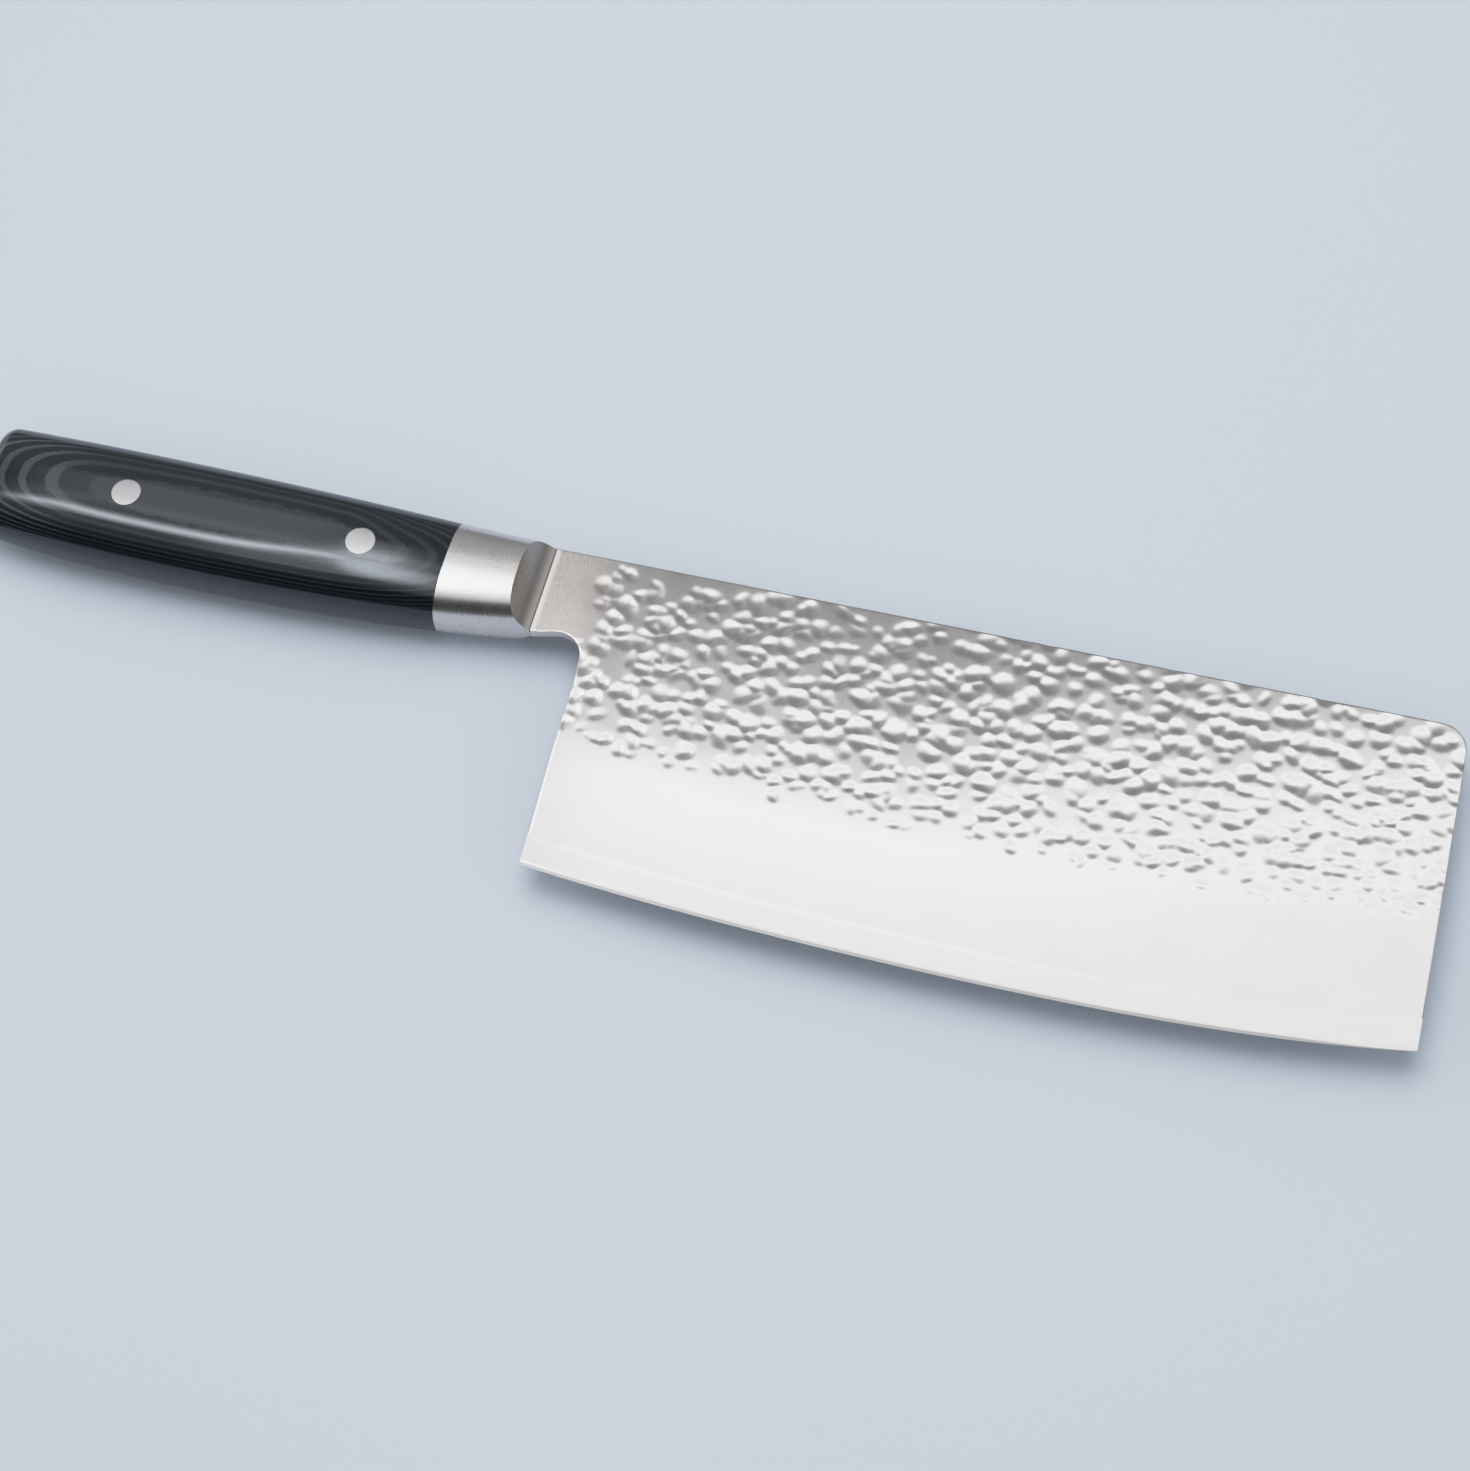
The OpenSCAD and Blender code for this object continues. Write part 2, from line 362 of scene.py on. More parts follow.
def graded(total, step, first):
    """Shares of a run that starts with a few finer steps."""
    head = np.cumsum([0] + first)
    n = max(2, int(round((total - head[-1]) / step)))
    return np.r_[head, np.linspace(head[-1], total, n + 1)[1:]] / total


def tang_net(points, first):
    """Adds the tang to a net whose last column is the front of the bolster.
    first holds the indices of that column between the tang's sides."""
    strip = points[first] - [0.02, 0]
    low_y, high_y = TANG_Y - TANG_W / 2, TANG_Y + TANG_W / 2
    end = BUTT_X + TANG_SHORT
    top = np.c_[np.linspace(NECK_X - 1, end, 24), np.full(24, high_y)]
    back = np.c_[np.full(6, end), np.linspace(high_y, low_y, 8)[1:-1]]
    base = np.c_[np.linspace(end, NECK_X - 1, 24), np.full(24, low_y)]
    ring = np.r_[strip, top, back, base]
    loops, edges, at = [ring], [], 0
    for x in RIVETS:
        a = np.linspace(0, 2 * np.pi, 40, endpoint=False)
        loops.append(np.c_[x + TUBE_D / 2 * np.cos(a), mid_y(x) + TUBE_D / 2 * np.sin(a)])
    for loop in loops:
        n = len(loop)
        edges.append(np.c_[np.arange(n), (np.arange(n) + 1) % n] + at)
        at += n
    extra = np.concatenate(loops)
    tri = fill(extra, np.concatenate(edges)) + len(points)
    k = len(first)
    new = np.arange(k) + len(points)
    strip_quads = np.stack([new[:-1], first[:-1], first[1:], new[1:]], 1)
    return np.r_[points, extra], [strip_quads, tri]


def cladding_net():
    """Flat net of one cladding layer: blade, neck and tang."""
    low = 6.7
    s = graded(180.0, 0.39, [0.03, 0.06, 0.11])
    s = np.r_[s[s < 0.5], 1 - s[::-1][s[::-1] <= 0.5]]
    s = np.unique(s.round(9))
    y0 = low + float(edge_y(heel_at(low)))
    y1 = low + TIP_RISE
    left = np.r_[[(heel_at(y0), y0)], [p for p in HEEL if p[1] > y0],
                 choil(np.linspace(5, 50, 24)), [(float(choil(50)[0, 0]), spine_line(-3.43))]]
    right = np.r_[[(tip_at(y1), y1)], tip_corner(np.linspace(0, 45, 24))]
    run = np.r_[0, np.cumsum(np.linalg.norm(np.diff(left, axis=0), axis=1))]
    split = run[-2]
    heights = np.r_[np.linspace(0, 13.3, 10), np.arange(13.3, split, 0.305)[1:-1], split,
                    split + np.array([0.03, 0.09, 0.2]),
                    np.arange(split + 0.45, run[-1] - 0.45, 0.305),
                    run[-1] - np.array([0.2, 0.09, 0.03, 0])]
    t = heights / run[-1]
    cut = int(np.argmin(np.abs(heights - split)))
    xs = np.linspace(left[0, 0], right[0, 0], 900)
    bottom = np.c_[xs, edge_y(xs) + low]
    bottom[0], bottom[-1] = left[0], right[0]
    xs = np.linspace(left[-1, 0], BLADE_L - 1.4 - CORNER_R, 300)
    top = np.r_[np.c_[xs, spine_line(xs)], tip_corner(np.linspace(90, 45, 24))]
    top[0] = left[-1]
    main = coons(along(bottom, s), along(top, s), along(left, t), along(right, t), s, t)
    rows, cols = main.shape[:2]
    grid = np.arange(rows * cols).reshape(rows, cols)

    q = graded(11.5, 0.36, [0.08, 0.09, 0.11, 0.14, 0.18, 0.24])
    q = 1 - q[::-1]
    tt = (heights[cut:] - split) / (run[-1] - split)
    xs = np.linspace(top[0, 0], NECK_X, 60)
    n_top = np.c_[xs, spine_line(xs)]
    n_top[0] = main[-1, 0]
    n_left = np.c_[np.full(2, NECK_X), [NECK_LOW[-1, 1], n_top[-1, 1]]]
    neck = coons(along(NECK_LOW, q), along(n_top, q), main[cut:, 0], along(n_left, tt), q, tt)
    extra = neck[:, 1:]
    first = len(main.reshape(-1, 2))
    more = np.arange(extra.shape[0] * extra.shape[1]).reshape(extra.shape[:2]) + first
    side = np.c_[grid[cut:, 0], more]
    points = np.r_[main.reshape(-1, 2), extra.reshape(-1, 2)]
    faces = [quads(grid), quads(side, flip=True)]
    last = side[:, -1]
    y = points[last, 1]
    inside = last[(y > TANG_Y - TANG_W / 2 + 0.02) & (y < TANG_Y + TANG_W / 2 - 0.02)]
    blade_n = len(points)
    points, tang = tang_net(points, inside)
    near = np.zeros(len(points), bool)
    near[grid[-7:].ravel()] = True
    near[grid[:, :7].ravel()] = True
    near[grid[:, -7:].ravel()] = True
    near[side[:7].ravel()] = True
    near[side[-7:].ravel()] = True
    outline = np.r_[left[:-1], NECK_LOW[1:]], np.r_[right, top[::-1][1:], n_top[1:]]
    return points, faces + tang, blade_n, near, outline


def distance(p, line):
    a, b = line[:-1], line[1:]
    d = b - a
    t = np.clip(((p[:, None] - a) * d).sum(-1) / np.maximum((d * d).sum(-1), 1e-12), 0, 1)
    return np.linalg.norm(p[:, None] - (a + t[..., None] * d), axis=-1).min(1)


def cladding_heights(points, blade_n, near, outline, seed):
    raster, dents, sway = dent_field(seed)
    p = points[:blade_n]
    h = p[:, 1] - edge_y(np.clip(p[:, 0], 0, BLADE_L))
    shape = raster.sample(dents, p) - raster.sample(sway, p) * np.clip((h - 26) / 6, 0, 1)
    z = HALF_T - ground(h) - np.maximum(shape, -0.004)
    foot = p[:, 0] - NECK_X
    z = z + np.where(foot < 9, 0.12 * np.exp(-foot / 0.36) + 0.03 * np.exp(-foot / 2.6), 0)
    some = np.where(near[:blade_n])[0]
    gap = np.minimum(distance(p[some], outline[0]), distance(p[some], outline[1]))
    r = 0.19
    short = np.clip(r - gap, 0, r)
    z[some] -= r - np.sqrt(r * r - short * short)
    return np.r_[z, np.full(len(points) - blade_n, HALF_TANG)]


# --------------------------------------------------------------- blade core
def core_net():
    xs = np.linspace(0, 1, 420)
    heights = np.array([0, 0.3, 0.6, 0.9, 0.98, 1.06, 1.2, 1.6, 2.2, 3, 4, 5, 6, 6.9])
    rows = []
    for h in heights:
        x0, x1 = float(heel_at(h)), float(tip_at(h + TIP_RISE))
        x = x0 + (x1 - x0) * xs
        rows.append(np.c_[x, edge_y(np.clip(x, 0, BLADE_L)) + max(h, 0.018)])
    strip = np.array(rows)
    index = np.arange(strip.shape[0] * strip.shape[1]).reshape(strip.shape[:2])
    points = strip.reshape(-1, 2)
    tip_y = np.linspace(strip[-1, -1, 1], BLADE_H - CORNER_R, 50)[1:]
    side = np.c_[tip_at(tip_y), tip_y]
    spine_x = np.linspace(BLADE_L - 1.4 - CORNER_R, NECK_X, 160)[1:]
    end, lo, hi = BUTT_X + TANG_SHORT, TANG_Y - TANG_W / 2, TANG_Y + TANG_W / 2
    heel_y = np.linspace(44.5, strip[-1, 0, 1], 34)
    outline = np.r_[side, tip_corner(np.linspace(0, 90, 30))[1:],
                    np.c_[spine_x, spine_line(spine_x)],
                    np.c_[np.linspace(NECK_X, end, 30), np.full(30, hi)],
                    np.c_[np.full(6, end), np.linspace(hi, lo, 8)[1:-1]],
                    np.c_[np.linspace(end, NECK_X, 30), np.full(30, lo)],
                    NECK_LOW[::-1], choil(np.linspace(50, 5, 24))[1:],
                    np.c_[heel_at(heel_y), heel_y][:-1]]
    local = np.r_[strip[-1], outline]
    n = len(local)
    ids = np.r_[index[-1], np.arange(len(outline)) + len(points)]
    edges = [np.c_[np.arange(n), (np.arange(n) + 1) % n]]
    points = np.r_[points, outline]
    for x in RIVETS:
        a = np.linspace(0, 2 * np.pi, 40, endpoint=False)
        hole = np.c_[x + TUBE_D / 2 * np.cos(a), mid_y(x) + TUBE_D / 2 * np.sin(a)]
        edges.append(np.c_[np.arange(40), (np.arange(40) + 1) % 40] + len(local))
        ids = np.r_[ids, np.arange(40) + len(points)]
        local, points = np.r_[local, hole], np.r_[points, hole]
    tri = ids[fill(local, np.concatenate(edges))]
    h = points[:, 1] - edge_y(np.clip(points[:, 0], 0, BLADE_L))
    z = np.minimum(HALF_CORE, HALF_T + 0.004 - ground(h))
    z = np.minimum(z, 0.012 + np.clip(h, 0, None) * math.tan(math.radians(BEVEL_A)))
    return points, [quads(index), tri], z


# ---------------------------------------------------------- handle, bolster
def half_body(stations, around):
    """Closed upper half of the handle's swept cross-section."""
    a = np.linspace(0, np.pi, 721)
    c, s = np.cos(a), np.sin(a)
    k = 2 / SQUARE_N
    verts = []
    for x in stations:
        y = mid_y(x) + half_w(x) * np.sign(c) * np.abs(c) ** k
        z = half_h(x) * np.abs(s) ** k
        z[0] = z[-1] = 0.0
        p = along(np.c_[y, z], np.linspace(0, 1, around))
        verts.append(np.c_[np.full(around, x), p])
    verts = np.concatenate(verts)
    index = np.arange(len(verts)).reshape(len(stations), around)
    base = np.stack([index[:-1, -1], index[1:, -1], index[1:, 0], index[:-1, 0]], 1)
    return verts, [quads(index), base], [index[0][::-1], index[-1]]


def raw(name, verts, faces, caps=()):
    mesh = bpy.data.meshes.new(name)
    mesh.from_pydata(np.asarray(verts).tolist(), [],
                     [f for part in faces for f in part.tolist()] + [c.tolist() for c in caps])
    mesh.validate()
    obj = bpy.data.objects.new(name, mesh)
    bpy.context.scene.collection.objects.link(obj)
    return obj


def outward(obj):
    """Turns every face outwards."""
    import bmesh
    bm = bmesh.new()
    bm.from_mesh(obj.data)
    bmesh.ops.recalc_face_normals(bm, faces=bm.faces)
    bm.to_mesh(obj.data)
    bm.free()
    return obj


def box_cutter(x0, x1, y0, y1, z0, z1):
    v = [(x, y, z) for x in (x0, x1) for y in (y0, y1) for z in (z0, z1)]
    f = np.array([(0, 1, 3, 2), (4, 6, 7, 5), (0, 4, 5, 1), (2, 3, 7, 6), (0, 2, 6, 4), (1, 5, 7, 3)])
    return outward(raw("cut", v, [f]))


def round_cutter(x, y, r, z0, z1, n=96):
    a = np.linspace(0, 2 * np.pi, n, endpoint=False)
    ring = np.c_[x + r * np.cos(a), y + r * np.sin(a)]
    v = np.r_[np.c_[ring, np.full(n, z0)], np.c_[ring, np.full(n, z1)]]
    i = np.arange(n)
    j = (i + 1) % n
    return outward(raw("cut", v, [np.stack([i, j, j + n, i + n], 1)], [i[::-1], i + n]))


def sweep_cutter():
    """Cylinder along Y that leaves the bolster's concave front."""
    n = 480
    rise = BOLSTER_H - HALF_T
    foot = math.atan2(rise, SWEEP_L) - math.asin(math.hypot(SWEEP_L, rise) / 2 / SWEEP_R)
    cx, cz = NECK_X + SWEEP_R * math.sin(foot), HALF_T + SWEEP_R * math.cos(foot)
    a = np.linspace(0, 2 * np.pi, n, endpoint=False)
    ring = np.c_[cx + SWEEP_R * np.cos(a), cz + SWEEP_R * np.sin(a)]
    v = np.r_[np.c_[ring[:, 0], np.full(n, 40.0), ring[:, 1]],
              np.c_[ring[:, 0], np.full(n, 90.0), ring[:, 1]]]
    i = np.arange(n)
    j = (i + 1) % n
    return outward(raw("cut", v, [np.stack([i, j, j + n, i + n], 1)], [i[::-1], i + n]))


def carve(obj, cutters):
    outward(obj)
    for c in cutters:
        mod = obj.modifiers.new("cut", "BOOLEAN")
        mod.operation, mod.solver, mod.object = "DIFFERENCE", "EXACT", c
    graph = bpy.context.evaluated_depsgraph_get()
    graph.update()
    mesh = bpy.data.meshes.new_from_object(obj.evaluated_get(graph))
    for o in [obj] + cutters:
        old = o.data
        bpy.data.objects.remove(o)
        if old.users == 0:
            bpy.data.meshes.remove(old)
    co = np.zeros(len(mesh.vertices) * 3)
    mesh.vertices.foreach_get("co", co)
    return mesh, co.reshape(-1, 3)


def place(mesh, co, mirror):
    mesh = mesh.copy()
    co = co * [1, 1, -1] if mirror else co
    mesh.vertices.foreach_set("co", ((co + SHIFT) * 0.001).ravel())
    if mirror:
        mesh.flip_normals()
    mesh.update()
    return mesh


def head_z(x):
    return float(half_h(x)) - 0.04


def make_scales(material):
    turn = np.linspace(0, np.pi / 2, 22)
    stations = np.r_[BUTT_X + 0.002 + (BUTT_R - 0.002) * (1 - np.cos(turn)),
                     np.linspace(BUTT_X + BUTT_R, BACK_X, 112)[1:]]
    verts, faces, caps = half_body(stations, 190)
    body = raw("scale", verts, faces, caps)
    cutters = [box_cutter(BUTT_X + TANG_SHORT, BACK_X + 5, TANG_Y - TANG_W / 2,
                          TANG_Y + TANG_W / 2, -1, HALF_TANG)]
    for x in RIVETS:
        y = float(mid_y(x))
        cutters.append(round_cutter(x, y, TUBE_D / 2, -1, 5))
        cutters.append(round_cutter(x, y, HEAD_D / 2, head_z(x) - HEAD_T, 20))
    # the bore and the seat meet end to end
    for x in RIVETS:
        cutters.append(round_cutter(x, float(mid_y(x)), TUBE_D / 2 - 0.001, 4.5, head_z(x) - HEAD_T + 0.5))
    mesh, co = carve(body, cutters)
    for name, node, mirror in (("laminate_scale_top", "scale_top", False),
                               ("laminate_scale_bottom", "scale_bottom", True)):
        dress(name, place(mesh, co, mirror), material, [node], 40)


def make_bolsters(material):
    stations = np.linspace(BACK_X, NECK_X, 44)
    verts, faces, caps = half_body(stations, 220)
    body = raw("bolster", verts, faces, caps)
    cutters = [box_cutter(BACK_X - 1, NECK_X + 1, TANG_Y - TANG_W / 2, TANG_Y + TANG_W / 2,
                          -1, HALF_TANG), sweep_cutter()]
    mesh, co = carve(body, cutters)
    for name, node, mirror in (("satin_bolster_top", "bolster_top", False),
                               ("satin_bolster_bottom", "bolster_bottom", True)):
        dress(name, place(mesh, co, mirror), material, [node], 30)


def rivet(x, tube):
    """Head ground flush with the handle, with its stem or its tube below."""
    cx, cy = x, float(mid_y(x))
    seat = head_z(x) - HEAD_T
    a = np.linspace(0, 2 * np.pi, 96, endpoint=False)
    cos, sin = np.cos(a), np.sin(a)
    verts, rings = [], []

    def ring(r, above):
        px, py = cx + r * cos, cy + r * sin
        rings.append(np.arange(96) + 96 * len(rings))
        verts.append(np.c_[px, py, handle_z(px, py) + above])

    def flat(r, z):
        rings.append(np.arange(96) + 96 * len(rings))
        verts.append(np.c_[cx + r * cos, cy + r * sin, np.full(96, z)])

    for r in (0.05, 0.8, 1.6, 2.4, 2.9, 3.08):
        ring(r, 0.012)
    ring(3.15, 0.004)
    ring(3.185, -0.03)
    flat(3.185, seat)
    if tube:
        flat(TUBE_D / 2 - 0.01, seat)
        flat(TUBE_D / 2 - 0.01, -seat)
        flat(STEM_D / 2, -seat)
        flat(STEM_D / 2, seat)
        flat(0.05, seat)
    else:
        flat(STEM_D / 2 - 0.01, seat)
        flat(STEM_D / 2 - 0.01, -seat)
        flat(0.05, -seat)
    index = np.array([np.r_[r, r[0]] for r in rings])
    faces = [quads(index), rings[0][None, :], rings[-1][None, ::-1]]
    return np.concatenate(verts), faces


def make_rivets(material):
    for where, x in (("front", RIVETS[0]), ("rear", RIVETS[1])):
        for half, tube in (("male", False), ("female", True)):
            verts, faces = rivet(x, tube)
            mesh_name = f"flush_{where}_rivet_{half}"
            obj = raw(mesh_name, verts, faces[:1], [f for part in faces[1:] for f in part])
            outward(obj)
            mesh = obj.data
            co = np.zeros(len(mesh.vertices) * 3)
            mesh.vertices.foreach_get("co", co)
            done = place(mesh, co.reshape(-1, 3), tube)
            bpy.data.objects.remove(obj)
            bpy.data.meshes.remove(mesh)
            dress(mesh_name, done, material, [f"{where}_rivet_{half}"], 30)


# ---------------------------------------------------------------- materials
class Nodes:
    """Short names for the shader nodes used below."""

    def __init__(self, tree):
        self.t = tree

    def new(self, kind, **props):
        n = self.t.nodes.new(kind)
        for k, v in props.items():
            setattr(n, k, v)
        return n

    def put(self, socket, value):
        if hasattr(value, "is_output"):
            self.t.links.new(value, socket)
        else:
            socket.default_value = value

    def math(self, op, a, b=0.0, c=0.0, clamp=False):
        n = self.new("ShaderNodeMath", operation=op, use_clamp=clamp)
        for s, v in zip(n.inputs, (a, b, c)):
            self.put(s, v)
        return n.outputs[0]

    def span(self, value, a, b, lo=0.0, hi=1.0, kind="SMOOTHSTEP"):
        n = self.new("ShaderNodeMapRange", interpolation_type=kind)
        for key, v in (("Value", value), ("From Min", a), ("From Max", b), ("To Min", lo), ("To Max", hi)):
            self.put(n.inputs[key], v)
        return n.outputs["Result"]

    def mix(self, share, a, b):
        n = self.new("ShaderNodeMix", data_type="RGBA")
        self.put(n.inputs[0], share)
        self.put(n.inputs[6], a)
        self.put(n.inputs[7], b)
        return n.outputs[2]

    def position(self):
        """Object coordinates in drawing millimetres."""
        coord = self.new("ShaderNodeTexCoord")
        scaled = self.new("ShaderNodeVectorMath", operation="MULTIPLY_ADD")
        self.put(scaled.inputs[0], coord.outputs["Object"])
        scaled.inputs[1].default_value = (1000, 1000, 1000)
        scaled.inputs[2].default_value = tuple(-SHIFT)
        return scaled.outputs[0]

    def scaled(self, vector, by):
        n = self.new("ShaderNodeVectorMath", operation="MULTIPLY")
        self.put(n.inputs[0], vector)
        n.inputs[1].default_value = by
        return n.outputs[0]

    def noise(self, vector, scale=1.0, detail=2.0, rough=0.5):
        n = self.new("ShaderNodeTexNoise")
        self.put(n.inputs["Vector"], vector)
        n.inputs["Scale"].default_value = scale
        n.inputs["Detail"].default_value = detail
        n.inputs["Roughness"].default_value = rough
        return n.outputs["Fac"]

    def bump(self, height, mm, strength=1.0):
        n = self.new("ShaderNodeBump")
        self.put(n.inputs["Height"], height)
        n.inputs["Distance"].default_value = mm * 0.001
        n.inputs["Strength"].default_value = strength
        return n.outputs["Normal"]


def material(name):
    mat = bpy.data.materials.new(name)
    mat.use_nodes = True
    return mat, Nodes(mat.node_tree), mat.node_tree.nodes["Principled BSDF"]


def steel(name, color, rough, brush, brush_mm=0.0002, patches=0.04):
    """Satin steel: fine brushed grain, and slow changes of tone and gloss."""
    mat, n, bsdf = material(name)
    bsdf.inputs["Metallic"].default_value = 1.0
    p = n.position()
    grain = n.noise(n.scaled(p, brush), 1.0, 3.0, 0.6)
    slow = n.noise(p, 0.09, 3.0, 0.55)
    tone = n.span(slow, 0.3, 0.7, 0.0, 1.0)
    dark = tuple(c * (1 - patches) for c in color[:3]) + (1.0,)
    n.put(bsdf.inputs["Base Color"], n.mix(tone, dark, color))
    n.put(bsdf.inputs["Roughness"], n.math("ADD", n.span(grain, 0.25, 0.75, rough - 0.025, rough + 0.035),
                                           n.span(slow, 0.3, 0.7, -0.012, 0.012)))
    n.put(bsdf.inputs["Normal"], n.bump(grain, brush_mm))
    return mat, n, bsdf, p


def above_edge(n, p):
    """Height above the cutting edge, from the position along the blade."""
    sep = n.new("ShaderNodeSeparateXYZ")
    n.put(sep.inputs[0], p)
    x, y = sep.outputs[0], sep.outputs[1]
    u = n.math("MULTIPLY", x, 1 / BLADE_L)
    v = n.math("MULTIPLY_ADD", u, 2.0, -1.0)
    shape = n.math("MULTIPLY_ADD", v, n.math("MULTIPLY_ADD", v, 0.25, 0.24), 1.0)
    bow = n.math("MULTIPLY", n.math("MULTIPLY", u, n.math("SUBTRACT", 1.0, u)), shape)
    edge = n.math("SUBTRACT", n.math("MULTIPLY", u, TIP_RISE), n.math("MULTIPLY", bow, 4 * BELLY))
    return x, n.math("SUBTRACT", y, edge)


def hammered(color):
    """Satin in the hammer marks and smoother where the face is ground."""
    mat, n, bsdf, p = steel("hammered_satin_steel", color, 0.17, (9, 0.8, 3))
    x, height = above_edge(n, p)
    wander = n.math("MULTIPLY", n.math("SUBTRACT", n.noise(p, 0.25, 2.0, 0.5), 0.5), 5.0)
    satin = n.span(n.math("ADD", height, wander), 24.5, 30.0)
    plain = bsdf.inputs["Roughness"].links[0].from_socket
    # the cut edges and the last fraction of a millimetre at the bolster are duller; their colour is painted
    # shade: edge faces turned towards +Y go near black, and a thin painted shadow line sits in the crease at
    # the bolster
    sep = n.new("ShaderNodeSeparateXYZ")
    n.put(sep.inputs[0], n.new("ShaderNodeNewGeometry").outputs["Normal"])
    dull_and_painted_shade = n.math("MAXIMUM", n.span(sep.outputs[1], 0.30, 0.62), n.span(x, NECK_X + 0.24, NECK_X + 0.10))
    # the neck is ground by hand, most coarsely along the bolster; that strip along the bolster is also painted
    # lighter, a painted highlight
    neck = n.span(x, 4.0, -7.0)
    coarse_seam_and_painted_highlight = n.span(x, NECK_X + 1.6, NECK_X + 0.35)
    shade = n.mix(neck, bsdf.inputs["Base Color"].links[0].from_socket, (0.615, 0.575, 0.540, 1))
    # painted highlight: a lighter colour on the strip along the bolster's foot
    shade = n.mix(coarse_seam_and_painted_highlight, shade, (0.780, 0.750, 0.735, 1))
    # painted shade: near-black colour on the edge faces turned towards +Y and in the crease at the bolster
    n.put(bsdf.inputs["Base Color"], n.mix(n.math("MULTIPLY", dull_and_painted_shade, 0.9), shade, (0.08, 0.08, 0.085, 1)))
    rough = n.math("ADD", plain, n.math("MULTIPLY", satin, 0.03))
    rough = n.math("ADD", rough, n.math("MULTIPLY", neck, 0.06))
    rough = n.math("ADD", rough, n.math("MULTIPLY", coarse_seam_and_painted_highlight, 0.15))
    n.put(bsdf.inputs["Roughness"], n.math("ADD", rough, n.math("MULTIPLY", dull_and_painted_shade, 0.15)))
    return mat


def bolster(color):
    """Satin bolster whose concave front is painted darker, as painted shade on the faces turned towards +X."""
    mat, n, bsdf, p = steel("bolster_satin_steel", color, 0.26, (9, 0.7, 0.7), 0.00035)
    sep = n.new("ShaderNodeSeparateXYZ")
    n.put(sep.inputs[0], n.new("ShaderNodeNewGeometry").outputs["Normal"])
    # painted shade: faces turned towards +X, the concave front, take a darker colour
    front = n.span(sep.outputs[0], 0.45, 0.60)
    shade = bsdf.inputs["Base Color"].links[0].from_socket
    n.put(bsdf.inputs["Base Color"], n.mix(front, shade, (0.335, 0.312, 0.292, 1)))
    return mat


def whetted(color, rough):
    """The core's steel, with a greyer stone-honed finish on the bevel."""
    mat, n, bsdf, p = steel("hard_core_steel", color, rough, (9, 0.8, 3))
    x, height = above_edge(n, p)
    wide = n.math("MULTIPLY", n.span(x, 180, 150, 0.25, 1.0), 0.66)
    bevel = n.span(n.math("SUBTRACT", height, wide), 0.05, -0.05)
    rub = n.noise(n.scaled(p, (0.9, 14, 3)), 1.0, 3.0, 0.6)
    honed = n.mix(rub, (0.31, 0.305, 0.30, 1), (0.43, 0.422, 0.415, 1))
    n.put(bsdf.inputs["Base Color"], n.mix(bevel, bsdf.inputs["Base Color"].links[0].from_socket, honed))
    plain = bsdf.inputs["Roughness"].links[0].from_socket
    n.put(bsdf.inputs["Roughness"], n.math("MAXIMUM", plain, n.math("MULTIPLY", bevel, 0.42)))
    return mat


